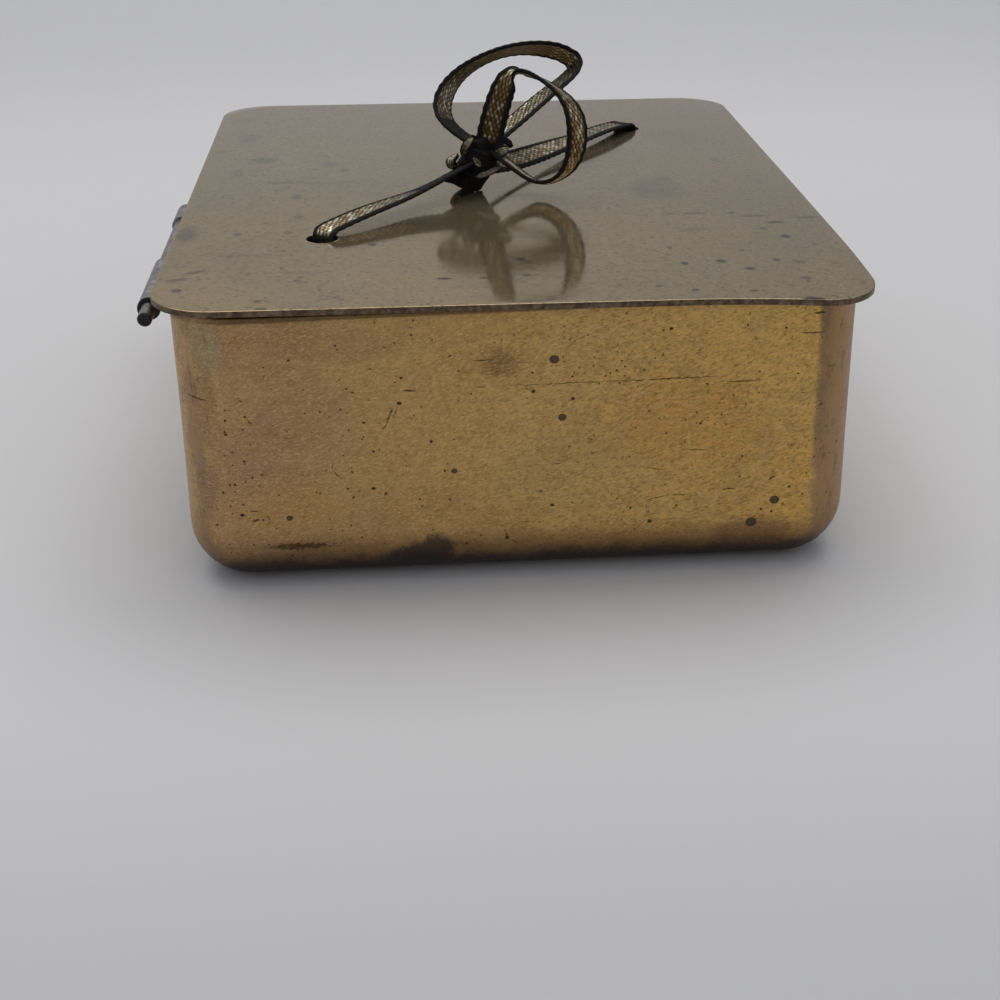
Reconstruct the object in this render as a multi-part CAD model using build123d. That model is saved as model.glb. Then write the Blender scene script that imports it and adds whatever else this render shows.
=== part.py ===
"""Pressed-brass trinket box with a flat hinged lid and a braided ribbon tied in a bow as its pull.

Millimetres, +Z up, origin at the centre of the flat base. The front faces -Y, the hinge is on -X.
"""

import os
from math import atan2, degrees, radians, tan

from build123d import *

# Lid: one flat sheet
LID_WIDTH = 100.0
LID_DEPTH = 130.0
LID_CORNER_R = 9.2
SHEET = 0.9
EDGE_BREAK = 0.15
LID_TOP = 42.4
LID_TILT = 0.5

# Pan: one deep-drawn sheet with rounded corners and a rounded bottom edge
OVERHANG = 2.0
RIM_GAP = 0.1
PAN_CORNER_R = 9.0
PAN_BASE_R = 8.5
RIM_ROUND = 0.2

# Hinge: three knuckles on one pin along the left wall
PIN_R = 0.9
PIN_HEAD_R = 1.0
PIN_RUNNING_GAP = 0.05
BOX_KNUCKLE_R = 1.6
LID_KNUCKLE_R = 1.2
HINGE_AXIS_OUTSIDE_LID = 0.55
HINGE_AXIS_BELOW_LID = 1.75
KNUCKLE_GAP = 0.2
FRONT_FOOT_SETBACK = 5.0
HINGE_FRONT_Y = -55.2
FRONT_KNUCKLE_LENGTH = 18.7
LID_KNUCKLE_LENGTH = 22.0
REAR_KNUCKLE_LENGTH = 7.6
PIN_PROJECTION = 4.7
PIN_CHAMFER = 0.2

# Ribbon: flat braid laced through two holes on the lid's diagonal and tied over the middle
RIBBON_WIDTH = 4.4
RIBBON_THICKNESS = 0.7
HOLE_R = 2.4
LEFT_HOLE = (-27.5, -31.7)
RIGHT_HOLE = (27.7, 37.9)
KNOT_PLACE = (-2.6, -5.6)
KNOT_HEIGHT = 8.4
KNOT_LIFT = 0.1
KNOT_CORE_R = 2.9
KNOT_CORE_CHAMFER = 1.1
END_KNOT_HEIGHT = 5.4
END_KNOT_CORE_R = 2.4
END_KNOT_CORE_CHAMFER = 0.9
CORE_SIDES = 8
ARC_SHARE = 0.45

# Turns of braid round a knot: half sizes of the oval, then its turn and tilt
BOW_BANDS = [((3.4, 3.0), 35.0, 28.0), ((3.9, 2.9), -50.0, 74.0), ((3.7, 2.8), 20.0, -62.0)]
END_BANDS = [((3.0, 2.7), 20.0, 55.0), ((2.9, 2.6), 75.0, -50.0)]

# Routes of the ribbon's centre line, in the upright or leaning plane of each stretch.
# First number: way along the plane from its origin. Second: height in the plane above its origin.
LEFT_RUN = [(0.0, -0.9), (0.0, 1.0), (3.8, 1.5), (10.0, 2.1), (17.5, 2.45), (25.0, 3.1), (33.0, 4.6)]
RIGHT_RUN = [
    (53.05, -0.9), (53.05, 1.0), (49.3, 1.35), (42.8, 1.75), (34.5, 1.8), (26.0, 2.05),
    (17.5, 2.25), (9.5, 2.7), (2.0, 3.8),
]
FRONT_LOOP = [
    (1.3, 5.4), (2.4, 11.0), (5.3, 19.3), (9.2, 19.9), (15.9, 16.2), (17.7, 10.4),
    (16.0, 4.2), (10.9, 1.7), (6.8, 3.9), (2.6, 6.8),
]
BACK_LOOP = [
    (1.0, 2.6), (-2.6, 6.2), (-3.4, 11.0), (1.2, 16.8), (8.4, 20.8), (16.0, 22.2),
    (23.0, 20.4), (24.6, 16.6), (15.8, 11.3), (7.6, 5.8), (2.0, 2.4),
]
FRONT_LOOP_TURN = -26.7
BACK_LOOP_TURN = 20.0
BACK_LOOP_LEAN = 50.0
BACK_LOOP_ORIGIN = (-2.6, -4.5)
BACK_LOOP_RISE = 4.9

# Worked out from the driving sizes
LID_UNDERSIDE = LID_TOP - SHEET
RIM_Z = LID_UNDERSIDE - RIM_GAP
PAN_WIDTH = LID_WIDTH - 2 * OVERHANG
PAN_DEPTH = LID_DEPTH - 2 * OVERHANG
WALL_X = -PAN_WIDTH / 2
LEVEL_AXIS_X = -LID_WIDTH / 2 - HINGE_AXIS_OUTSIDE_LID
LEVEL_AXIS_Z = LID_UNDERSIDE - HINGE_AXIS_BELOW_LID

# The lid and all on it are modelled level, then tilted about the right rim so that the hinge side stands up
RIGHT_RIM = Pos(PAN_WIDTH / 2, 0, LID_UNDERSIDE)
LID_SEAT = RIGHT_RIM * Rot(0, LID_TILT, 0) * RIGHT_RIM.inverse()
AXIS_X = (LID_SEAT * Pos(LEVEL_AXIS_X, 0, LEVEL_AXIS_Z)).position.X
AXIS_Z = (LID_SEAT * Pos(LEVEL_AXIS_X, 0, LEVEL_AXIS_Z)).position.Z
LID_KNUCKLE_Y = HINGE_FRONT_Y + FRONT_KNUCKLE_LENGTH + KNUCKLE_GAP
REAR_KNUCKLE_Y = LID_KNUCKLE_Y + LID_KNUCKLE_LENGTH + KNUCKLE_GAP
HINGE_BACK_Y = REAR_KNUCKLE_Y + REAR_KNUCKLE_LENGTH


def pan_form(width, depth, height, corner_r, base_r):
    """Solid block with upright rounded corners and a rounded bottom edge, standing on Z 0."""
    block = extrude(RectangleRounded(width, depth, corner_r), height)
    return fillet(block.faces().sort_by(Axis.Z)[0].edges(), base_r)


def make_box_body():
    outer = pan_form(PAN_WIDTH, PAN_DEPTH, RIM_Z, PAN_CORNER_R, PAN_BASE_R)
    inner = pan_form(
        PAN_WIDTH - 2 * SHEET, PAN_DEPTH - 2 * SHEET, RIM_Z, PAN_CORNER_R - SHEET, PAN_BASE_R - SHEET
    )
    pan = outer - Pos(0, 0, SHEET) * inner
    return fillet(pan.faces().sort_by(Axis.Z)[-1].edges(), RIM_ROUND)


def make_lid_plate():
    plate = Pos(0, 0, LID_UNDERSIDE) * extrude(RectangleRounded(LID_WIDTH, LID_DEPTH, LID_CORNER_R), SHEET)
    plate = chamfer(plate.faces().sort_by(Axis.Z)[-1].edges(), EDGE_BREAK)
    for x, y in (LEFT_HOLE, RIGHT_HOLE):
        plate -= Pos(x, y, LID_UNDERSIDE) * extrude(Circle(HOLE_R), SHEET)
    return plate


def along_hinge(sketch, start_y, length, axis_x=AXIS_X, axis_z=AXIS_Z):
    """Extrude a sketch drawn in X and Z about the hinge axis from start_y towards +Y."""
    place = Plane(origin=(axis_x, start_y, axis_z), x_dir=(1, 0, 0), z_dir=(0, -1, 0))
    return extrude(place * sketch, -length)


def make_box_knuckle(start_y, length, setback=0.0):
    """Tube with the soldered foot that spreads from it to the wall, under the rim. The foot may start behind
    the tube's front end."""
    wall = WALL_X - AXIS_X
    under_rim = RIM_Z - RIM_ROUND - AXIS_Z
    outline = [(0.5, -1.3), (wall, -1.8), (wall, under_rim), (0.5, 1.2)]
    foot = make_face(Polyline(*outline, close=True)) - Circle(PIN_R)
    tube = along_hinge(Circle(BOX_KNUCKLE_R) - Circle(PIN_R), start_y, length)
    return tube + along_hinge(foot, start_y + setback, length - setback)


def make_lid_knuckle():
    """Tube on the level lid's axis. Its foot rises to the lid's underside, just inside its edge."""
    plate = HINGE_AXIS_BELOW_LID
    inside_edge = HINGE_AXIS_OUTSIDE_LID + EDGE_BREAK
    bore = Circle(PIN_R + PIN_RUNNING_GAP)
    outline = [(-0.1, 1.0), (inside_edge, plate), (1.8, plate), (1.05, 0.5)]
    foot = make_face(Polyline(*outline, close=True)) - bore
    profile = Circle(LID_KNUCKLE_R) - bore + foot
    return along_hinge(profile, LID_KNUCKLE_Y, LID_KNUCKLE_LENGTH, LEVEL_AXIS_X, LEVEL_AXIS_Z)


def make_hinge_pin():
    """Pin through the three knuckles. Its bare front end is a little thicker than their bore."""
    pin = along_hinge(Circle(PIN_R), HINGE_FRONT_Y, HINGE_BACK_Y - HINGE_FRONT_Y)
    pin += along_hinge(Circle(PIN_HEAD_R), HINGE_FRONT_Y - PIN_PROJECTION, PIN_PROJECTION)
    rings = pin.edges().filter_by(GeomType.CIRCLE).sort_by(Axis.Y)
    return chamfer([rings[0], rings[-1]], PIN_CHAMFER)


def bend_radii(points):
    """Radius of the arc at each inner point: a share of its shorter run over half the turn's tangent."""
    radii = []
    for before, here, after in zip(points, points[1:], points[2:]):
        way_in = Vector(*here) - Vector(*before)
        way_out = Vector(*after) - Vector(*here)
        half_turn = radians(way_in.get_angle(way_out)) / 2
        radii.append(ARC_SHARE * min(way_in.length, way_out.length) / tan(half_turn))
    return radii


def ribbon_strip(name, points, plane):
    """Flat braid on edge in its plane: the route thickened to both sides, then as wide as the braid."""
    radii = bend_radii(points)
    route = Wire(FilletPolyline(*points, radius=radii).edges())
    halves = [
        make_face(route.offset_2d(RIBBON_THICKNESS / 2, side=side).edges())
        for side in (Side.LEFT, Side.RIGHT)
    ]
    strip = extrude(plane * (halves[0] + halves[1]), RIBBON_WIDTH / 2, both=True)
    print(name, "length %.1f" % route.length, "radii", [round(r, 1) for r in radii])
    return strip


def upright_plane(origin, turn):
    """Plane through origin with its first direction turned about Z, and its second straight up."""
    along = Vector(1, 0, 0).rotate(Axis.Z, turn)
    return Plane(origin=origin, x_dir=along, z_dir=along.rotate(Axis.Z, -90))


def leaning_plane(origin, turn, lean):
    return upright_plane(origin, turn).rotated((-lean, 0, 0))


def direction(start, end):
    """Compass turn of the way from start to end, from +X towards +Y."""
    return degrees(atan2(end[1] - start[1], end[0] - start[0]))


def knot_band(half_sizes, turn, tilt):
    """One turn of braid round a knot, as an oval slab of the braid's width."""
    return Rot(0, 0, turn) * Rot(tilt, 0, 0) * extrude(Ellipse(*half_sizes), RIBBON_WIDTH / 2, both=True)


def knot(core_r, height, core_chamfer, bands):
    """A bunch of braid, many-sided and narrower at its ends, with its bands round it."""
    core = extrude(RegularPolygon(core_r, CORE_SIDES), height / 2, both=True)
    ends = core.faces().filter_by(Axis.Z).edges()
    lump = chamfer(ends, core_chamfer)
    for band in bands:
        lump += knot_band(*band)
    return lump


def make_bow_knot():
    lump = knot(KNOT_CORE_R, KNOT_HEIGHT, KNOT_CORE_CHAMFER, BOW_BANDS)
    placed = Pos(*KNOT_PLACE, LID_TOP + KNOT_HEIGHT / 2) * lump
    return split(placed, Plane.XY.offset(LID_TOP + KNOT_LIFT), keep=Keep.TOP)


def make_end_knot(hole):
    """Overhand knot that bears on the lid's underside round its hole."""
    lump = knot(END_KNOT_CORE_R, END_KNOT_HEIGHT, END_KNOT_CORE_CHAMFER, END_BANDS)
    placed = Pos(*hole, LID_UNDERSIDE - END_KNOT_HEIGHT / 2) * lump
    return split(placed, Plane.XY.offset(LID_UNDERSIDE), keep=Keep.BOTTOM)


def make_ribbon():
    """The one ribbon, as the stretches between its holes and its knots."""
    bow_knot = make_bow_knot()
    left_plane = upright_plane((*LEFT_HOLE, LID_TOP), direction(LEFT_HOLE, KNOT_PLACE))
    right_plane = upright_plane((*KNOT_PLACE, LID_TOP), direction(KNOT_PLACE, RIGHT_HOLE))
    front_plane = upright_plane((*KNOT_PLACE, LID_TOP), FRONT_LOOP_TURN)
    back_plane = leaning_plane((*BACK_LOOP_ORIGIN, LID_TOP + BACK_LOOP_RISE), BACK_LOOP_TURN, BACK_LOOP_LEAN)
    return {
        "ribbon_left_run": ribbon_strip("left run", LEFT_RUN, left_plane) - bow_knot,
        "ribbon_right_run": ribbon_strip("right run", RIGHT_RUN, right_plane) - bow_knot,
        "ribbon_front_loop": ribbon_strip("front loop", FRONT_LOOP, front_plane) - bow_knot,
        "ribbon_back_loop": ribbon_strip("back loop", BACK_LOOP, back_plane) - bow_knot,
        "ribbon_bow_knot": bow_knot,
        "ribbon_left_end_knot": make_end_knot(LEFT_HOLE),
        "ribbon_right_end_knot": make_end_knot(RIGHT_HOLE),
    }


box_parts = {
    "box_body": make_box_body(),
    "front_knuckle": make_box_knuckle(HINGE_FRONT_Y, FRONT_KNUCKLE_LENGTH, FRONT_FOOT_SETBACK),
    "rear_knuckle": make_box_knuckle(REAR_KNUCKLE_Y, REAR_KNUCKLE_LENGTH),
    "hinge_pin": make_hinge_pin(),
}
lid_parts = {"lid_plate": make_lid_plate(), "lid_knuckle": make_lid_knuckle(), **make_ribbon()}
parts = box_parts | {node: LID_SEAT * shape for node, shape in lid_parts.items()}
print("hinge axis at X %.2f Z %.2f" % (AXIS_X, AXIS_Z))

os.makedirs("parts", exist_ok=True)
for node, shape in parts.items():
    export_step(shape, f"parts/{node}.step")
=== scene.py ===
"""Looks of a pressed-brass trinket box whose flat hinged lid is pulled by a bow of braided ribbon.

Metres, +Z up, front towards -Y, hinge on -X. Small sizes are written in millimetres times MM.
"""

from math import atan2, degrees, hypot, radians

import bmesh
import bpy
import numpy as np
from mathutils import Matrix, Vector


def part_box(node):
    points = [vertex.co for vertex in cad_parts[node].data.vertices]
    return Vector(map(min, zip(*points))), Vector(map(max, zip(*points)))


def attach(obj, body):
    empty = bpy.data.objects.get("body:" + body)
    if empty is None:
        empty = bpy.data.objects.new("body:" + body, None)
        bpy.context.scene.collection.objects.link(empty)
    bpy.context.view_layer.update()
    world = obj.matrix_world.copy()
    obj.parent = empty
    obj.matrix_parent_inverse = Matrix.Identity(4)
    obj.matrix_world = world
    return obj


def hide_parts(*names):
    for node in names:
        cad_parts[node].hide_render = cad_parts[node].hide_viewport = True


MM = 0.001

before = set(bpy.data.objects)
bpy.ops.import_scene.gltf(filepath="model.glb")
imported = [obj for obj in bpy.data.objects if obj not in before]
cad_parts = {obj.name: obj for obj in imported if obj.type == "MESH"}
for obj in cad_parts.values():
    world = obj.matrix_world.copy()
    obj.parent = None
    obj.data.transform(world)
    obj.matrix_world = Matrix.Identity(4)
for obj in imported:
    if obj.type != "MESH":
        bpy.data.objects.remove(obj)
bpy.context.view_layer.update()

# Camera, as the photograph was taken, placed from the level lid
CAMERA_PLACE = (-15.5, -272.5, 111.8)
CAMERA_TURN = -3.44
CAMERA_DIP = 25.28
CAMERA_ROLL = -0.42
FOCAL_PIXELS = 1639.0
PICTURE_PIXELS = 1000.0
SENSOR_MM = 36.0

# Sheet metal, in millimetres. The lid is made level and then seated: tilted about the right rim, so its
# hinge side stands up
pan_low, pan_high = (np.array(corner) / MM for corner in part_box("box_body"))
LID_HALF = (50.0, 65.0)
SHEET = 0.9
RIM_GAP = 0.1
LID_UNDER = pan_high[2] + RIM_GAP
LID_TOP = LID_UNDER + SHEET
LID_TILT = 0.5
LID_CORNER_R = 9.2
LID_EDGE_R = 0.12
LID_BENT_FROM = 88.0
LID_BENT_REACH = 21.0
LID_BENT_DROP = 0.7
LID_WAVE_REACH = 90.0
LID_WAVE = 0.12
PAN_CORNER_R = 9.0
PAN_BASE_R = 8.5
RIM_ROUND = 0.3
DENT_REACH = 45.0
DENT_DEPTH = 0.35
STIFF_FOOT = 12.0
LEFT_HOLE = (-27.5, -31.7)
RIGHT_HOLE = (27.7, 37.9)
HOLE_R = 2.4

right_rim = Matrix.Translation((pan_high[0], 0, LID_UNDER))
lid_seat = right_rim @ Matrix.Rotation(radians(LID_TILT), 4, "Y") @ right_rim.inverted()

# Ribbon, in millimetres. Places across it are shares of half its width
RIBBON_WIDTH = 4.4
EDGE_WAVE = 1.7
STRIP_STEP = 0.13
STRIP_LANES = 26
BRAID_SHARE = 0.6
FOLD_SHARE = 0.68
FOLD_TAPER = 0.9
RING_TURNS = 1.04
LINK_LENGTH = 1.45
LINK_SPREAD = 0.36
BRAID_DIP = 0.17
BRAID_SWELL = 0.13
EDGE_CORD = 0.29
EDGE_CORD_MIDDLE = 0.79
EDGE_CORD_HALF = 0.215
EDGE_CORD_TURN = 0.62
SCATTER = (12.9898, 78.233, 43758.5453)
KNOT_PLACE = (-2.6, -5.6)


def unit(vectors):
    """Vectors along the last axis, scaled to length one."""
    return vectors / np.linalg.norm(vectors, axis=-1, keepdims=True)


def seated(points):
    """Places on the level lid, in millimetres, moved to where they are on the tilted lid."""
    seat = np.array(lid_seat)
    return points @ seat[:3, :3].T + seat[:3, 3]


def grid_part(points, flip=False, closed=True):
    """A grid of points, rows by columns by 3, as (points, quads), with one quad for each cell.

    A closed grid joins each row's last point to its first."""
    rows, columns = points.shape[:2]
    index = np.arange(rows * columns).reshape(rows, columns)
    if closed:
        index = np.concatenate([index, index[:, :1]], axis=1)
    corners = index[:-1, :-1], index[1:, :-1], index[1:, 1:], index[:-1, 1:]
    quads = np.stack(corners, axis=-1).reshape(-1, 4)
    return points.reshape(-1, 3), quads[:, ::-1] if flip else quads


def make_piece(name, parts, material, values=None, merge=0.0, on_lid=False):
    """One smooth object from (points in millimetres, quads) parts, with any values that its points hold.

    Points closer than merge millimetres become one, which closes seams and poles, and the faces then look
    outward. What is on the lid is seated with it."""
    starts = np.cumsum([0] + [len(points) for points, _ in parts])
    points = np.concatenate([points for points, _ in parts])
    points = (seated(points) if on_lid else points) * MM
    quads = np.concatenate([faces + start for (_, faces), start in zip(parts, starts)])
    mesh = bpy.data.meshes.new(name)
    mesh.from_pydata(points, [], quads)
    for key, column in (values or {}).items():
        attribute = mesh.attributes.new(key, "FLOAT", "POINT")
        attribute.data.foreach_set("value", column.ravel().astype(np.float32))
    if merge:
        shell = bmesh.new()
        shell.from_mesh(mesh)
        bmesh.ops.remove_doubles(shell, verts=shell.verts, dist=merge * MM)
        bmesh.ops.recalc_face_normals(shell, faces=shell.faces)
        shell.to_mesh(mesh)
        shell.free()
    mesh.validate()
    mesh.shade_smooth()
    mesh.materials.append(material)
    piece = bpy.data.objects.new(name, mesh)
    bpy.context.scene.collection.objects.link(piece)
    return piece


def swell(points, seed, reach, height):
    """Smooth uneven height at points: the mean of five sine waves in random directions, reach millimetres
    long."""
    random = np.random.default_rng(seed)
    waves = unit(random.normal(size=(5, 3))) / (reach * random.uniform(0.7, 1.6, (5, 1)))
    starts = random.uniform(0, 2 * np.pi, 5)
    return height * np.sin(2 * np.pi * points @ waves.T + starts).mean(axis=-1)


def rounded_outline(half_x, half_y, radius, corner_steps=14, side_steps=40):
    """Anticlockwise rounded rectangle: corner centres, outward directions and the radius that joins them.

    A point of the outline at inset d is its centre + direction x (radius - d), so corners stay
    concentric."""
    centres, directions = [], []
    turns = [(1, 1), (-1, 1), (-1, -1), (1, -1)]
    for quarter, (sx, sy) in enumerate(turns):
        centre = np.array([sx * (half_x - radius), sy * (half_y - radius)])
        angle = (quarter + np.linspace(0, 1, corner_steps)) * np.pi / 2
        directions.append(np.stack([np.cos(angle), np.sin(angle)], axis=-1))
        centres.append(np.repeat(centre[None], corner_steps, axis=0))
        following = np.array(turns[(quarter + 1) % 4]) * (half_x - radius, half_y - radius)
        share = np.linspace(0, 1, side_steps + 1)[1:-1, None]
        centres.append(centre + share * (following - centre))
        directions.append(np.repeat(directions[-1][-1:], len(share), axis=0))
    return np.concatenate(centres), np.concatenate(directions)


def arc(centre, radius, start, end, steps):
    """Points of a circle's arc in the section plane, from start to end degrees."""
    angle = np.radians(np.linspace(start, end, steps))
    return np.stack([centre[0] + radius * np.cos(angle), centre[1] + radius * np.sin(angle)], axis=-1)


# Finishes

FAR = 200.0
# Places of a mix node's two colours among its inputs, and of the mixed colour among its outputs
MIX_UNDER = 6
MIX_OVER = 7
MIX_RESULT = 2


class Finish:
    """A material's nodes. Coordinates come in millimetres of the object's own space, and the colour is
    painted on in layers."""

    def __init__(self, name):
        self.material = bpy.data.materials.new(name)
        self.material.use_nodes = True
        self.tree = self.material.node_tree
        self.shader = self.tree.nodes["Principled BSDF"]
        self.place = self.scaled(self.node("TexCoord", {})["Object"], (1 / MM,) * 3)
        self.colour = None

    def connect(self, value, socket):
        """Links another node's output to the socket, or sets the socket to a constant."""
        if isinstance(value, bpy.types.NodeSocket):
            self.tree.links.new(value, socket)
        else:
            socket.default_value = value

    def node(self, kind, inputs, **settings):
        """Adds a node with these settings and inputs, and returns its outputs."""
        node = self.tree.nodes.new("ShaderNode" + kind)
        for key, value in settings.items():
            setattr(node, key, value)
        for key, value in inputs.items():
            self.connect(value, node.inputs[key])
        return node.outputs

    def scaled(self, vector, scale, shift=(0, 0, 0), turn=(0, 0, 0)):
        """A vector scaled, then turned by degrees about each axis, then shifted."""
        turn = [radians(angle) for angle in turn]
        moves = {"Scale": scale, "Location": shift, "Rotation": turn}
        return self.node("Mapping", {"Vector": vector, **moves})["Vector"]

    def cell_place(self, size, stretch=(1, 1, 1), shift=(0, 0, 0), place=None):
        """The place in cells of size millimetres times the stretch."""
        return self.scaled(place or self.place, [1 / (size * way) for way in stretch], shift)

    def noise(self, size, stretch=(1, 1, 1), shift=(0, 0, 0), turn=(0, 0, 0), detail=3.0, rough=0.55):
        """Cloudy pattern, 0 to 1, with features about size millimetres times the stretch."""
        turned = self.scaled(self.place, (1, 1, 1), turn=turn) if any(turn) else self.place
        place = self.cell_place(size, stretch, shift, turned)
        looks = {"Scale": 1.0, "Detail": detail, "Roughness": rough}
        return self.node("TexNoise", {"Vector": place, **looks})["Fac"]

    def cells(self, size, stretch=(1, 1, 1), shift=(0, 0, 0), place=None):
        """Distance to the nearest of scattered points, in cell sizes, and a random value for each cell."""
        cell = self.cell_place(size, stretch, shift, place)
        found = self.node("TexVoronoi", {"Vector": cell, "Scale": 1.0})
        return found["Distance"], self.node("SeparateColor", {"Color": found["Color"]})["Red"]

    def ragged(self, size, amount):
        """The object's place moved about by up to half of amount millimetres, differently every size."""
        looks = {"Scale": 1.0, "Detail": 1.0}
        noise = self.node("TexNoise", {"Vector": self.cell_place(size), **looks})["Color"]
        shift = self.scaled(noise, (2 * amount,) * 3, (-amount,) * 3)
        return self.node("VectorMath", {0: self.place, 1: shift})["Vector"]

    def math(self, operation, first, second=0.0, clamp=False):
        """One step of arithmetic on two values."""
        return self.node("Math", {0: first, 1: second}, operation=operation, use_clamp=clamp)["Value"]

    def times(self, first, second):
        return self.math("MULTIPLY", first, second)

    def plus(self, first, second):
        return self.math("ADD", first, second)

    def minus(self, first, second):
        return self.math("SUBTRACT", first, second)

    def step(self, value, low, high, start=0.0, end=1.0):
        """Smooth change from start, at low and under, to end, at high and over."""
        ends = {"From Min": low, "From Max": high, "To Min": start, "To Max": end}
        return self.node("MapRange", {"Value": value, **ends}, interpolation_type="SMOOTHSTEP")["Result"]

    def mix(self, factor, under, over):
        """Goes from one colour to another as factor goes from 0 to 1."""
        under, over = ((*value, 1.0) if isinstance(value, tuple) else value for value in (under, over))
        mixed = self.node("Mix", {0: factor, MIX_UNDER: under, MIX_OVER: over}, data_type="RGBA")
        return mixed[MIX_RESULT]

    def paint(self, amount, tint):
        """Lays a tint over the colour so far. Amount 0 leaves it and 1 covers it."""
        self.colour = self.mix(amount, self.colour, tint)

    def axes(self):
        """The place's distances along X, Y and Z."""
        parts = self.node("SeparateXYZ", {"Vector": self.place})
        return parts["X"], parts["Y"], parts["Z"]

    def near(self, centre, half_sizes, tilt=0.0, place=None):
        """Distance from a centre in shares of the half sizes: 1 on an ellipsoid that is tilted about Y."""
        moves = {"Location": centre, "Rotation": (0, radians(tilt), 0), "Scale": half_sizes}
        local = self.node("Mapping", {"Vector": place or self.place, **moves}, vector_type="TEXTURE")
        return self.node("VectorMath", {0: local["Vector"]}, operation="LENGTH")["Value"]

    def highest(self, values):
        """The largest of several values at each point."""
        total = values[0]
        for value in values[1:]:
            total = self.math("MAXIMUM", total, value)
        return total

    def laid(self, place, marks, inner=0.6, outer=1.1):
        """Strongest of many marks seen along Y, each given as x, z, half sizes, strength and, if it has
        one, tilt.

        They are laid one after another on a vector that carries the place in its X and Z and the strongest
        mark so far in its Y, because the renderer has room for few values at a time. Places are moved by
        FAR to stay above 0."""
        carrier = self.scaled(place, (1, 0, 1), (FAR, 0, FAR))
        for x, z, half_x, half_z, strength, *tilt in marks:
            sizes = (half_x, FAR * FAR, half_z)
            distance = self.near((x + FAR, 0, z + FAR), sizes, *(tilt or [0.0]), carrier)
            mark = self.node("CombineXYZ", {"Y": self.step(distance, inner, outer, strength, 0.0)})
            both = {0: carrier, 1: mark["Vector"]}
            carrier = self.node("VectorMath", both, operation="MAXIMUM")["Vector"]
        return self.node("SeparateXYZ", {"Vector": carrier})["Y"]

    def value_of(self, attribute):
        """A value that the mesh holds for each of its points."""
        return self.node("Attribute", {}, attribute_name=attribute)["Fac"]

    def set(self, **sockets):
        """Sets the shader's sockets, with their names' spaces written as underscores."""
        for key, value in sockets.items():
            self.connect(value, self.shader.inputs[key.replace("_", " ")])

    def bump(self, height, distance_mm):
        """Roughens the surface by height, 0 to 1, over a distance in millimetres."""
        bumps = self.node("Bump", {"Strength": 1.0, "Distance": distance_mm * MM, "Height": height})
        self.set(Normal=bumps["Normal"])


# Marks on the pan's front wall, in millimetres along X and up
FRONT_WALL = pan_low[1]
FRONT_DEPTH = 40.0
FRONT_SPOTS = [
    # and radius
    (4.6, 34.0, 0.7), (5.7, 25.4, 0.6), (36.2, 11.4, 0.72), (33.0, 8.0, 0.82), (-9.5, 17.9, 0.45),
    (-32.9, 11.6, 0.48),
]
FRONT_PITS = [
    # and radius
    (-25.0, 37.1, 0.2), (-31.5, 35.2, 0.22), (-17.1, 37.2, 0.17), (-9.7, 35.0, 0.17), (-16.4, 32.1, 0.25),
    (-16.8, 28.4, 0.42), (-27.7, 27.6, 0.2), (-14.8, 26.5, 0.16), (-21.7, 25.7, 0.2), (-20.7, 21.4, 0.2),
    (-22.0, 23.6, 0.18), (-40.9, 25.0, 0.2), (-38.6, 20.6, 0.24), (-40.6, 28.3, 0.22),
    (-36.3, 18.5, 0.17), (-40.1, 17.1, 0.3), (-41.9, 15.8, 0.22), (-36.7, 16.9, 0.18),
    (-20.9, 15.7, 0.36), (-10.8, 18.0, 0.22), (-14.5, 13.8, 0.21), (-14.2, 12.7, 0.17),
    (-24.3, 10.1, 0.2), (-39.5, 12.4, 0.36), (-43.2, 10.5, 0.26), (-10.1, 13.4, 0.17), (1.6, 32.2, 0.22),
    (1.7, 29.4, 0.33), (7.1, 31.4, 0.23), (7.2, 28.1, 0.32), (13.9, 33.4, 0.18), (20.6, 37.8, 0.32),
    (36.4, 37.3, 0.22), (25.8, 29.6, 0.22), (25.1, 23.7, 0.24), (38.5, 30.6, 0.17), (4.3, 12.0, 0.32),
    (7.1, 12.3, 0.19), (15.5, 11.0, 0.22), (38.2, 13.4, 0.31), (40.2, 12.1, 0.22), (34.3, 10.0, 0.2),
    (31.0, 15.3, 0.18), (-2.2, 7.1, 0.38), (18.3, 8.8, 0.4),
]
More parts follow.
